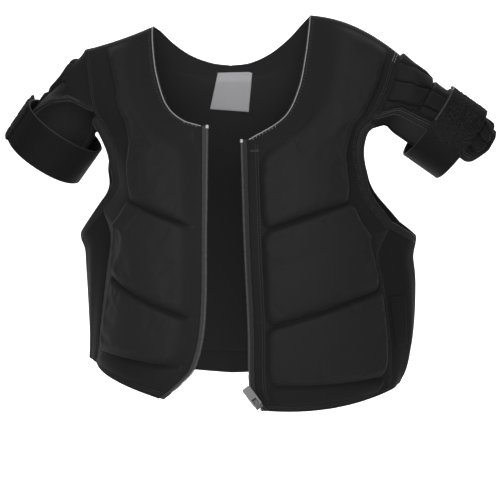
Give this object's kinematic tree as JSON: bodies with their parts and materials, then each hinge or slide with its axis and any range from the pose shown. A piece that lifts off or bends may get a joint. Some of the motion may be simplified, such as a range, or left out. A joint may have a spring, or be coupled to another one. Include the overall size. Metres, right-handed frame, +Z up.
{
  "type": "ski body armor vest",
  "caption": "Black padded ski protector vest, worn open at the front zip, with moulded foam cushions, a padded back, ribbed upper arm guards and elastic arm straps.",
  "frame": {"origin": "point between the shoulder ridges where the vest sits on the wearer", "axes": "+Z up, -Y the front with the zip, +X the wearer's left"},
  "size_m": [0.5836, 0.2597, 0.4586],
  "materials": {
    "black_jersey": "matt knitted cover over foam",
    "black_stretch": "matt stretch cloth",
    "black_webbing": "flat woven elastic",
    "loop_pile": "rough looped pile",
    "grey_tape": "woven zip tape",
    "grey_plastic": "moulded coil",
    "nickel": "satin nickel plate",
    "pale_label": "woven satin"
  },
  "bodies": {
    "vest": {"back_panel": "black_jersey", "front_panel_left": "black_jersey", "front_panel_right": "black_jersey", "armhole_band_left": "black_jersey", "armhole_band_right": "black_jersey", "arm_guard_left": "black_jersey", "arm_guard_right": "black_jersey", "side_panel_left": "black_stretch", "side_panel_right": "black_stretch", "arm_strap_left": "black_webbing", "arm_strap_right": "black_webbing", "side_label": "black_webbing", "strap_tab_left": "loop_pile", "strap_tab_right": "loop_pile", "zip_tape_left": "grey_tape", "zip_tape_right": "grey_tape", "zip_chain_left": "grey_plastic", "zip_chain_right": "grey_plastic", "zip_box": "nickel", "zip_pin": "nickel", "zip_slider": "nickel", "neck_label": "pale_label"},
    "zip_pull": {"zip_pull": "nickel"}
  },
  "joints": [
    {"name": "zip_pull_hinge", "type": "hinge", "parent": "vest", "child": "zip_pull", "pos_m": [0.03281, -0.07556, -0.42285], "axis": [0.8105, 0.0863, 0.5793], "range_deg": [0, 165]}
  ]
}
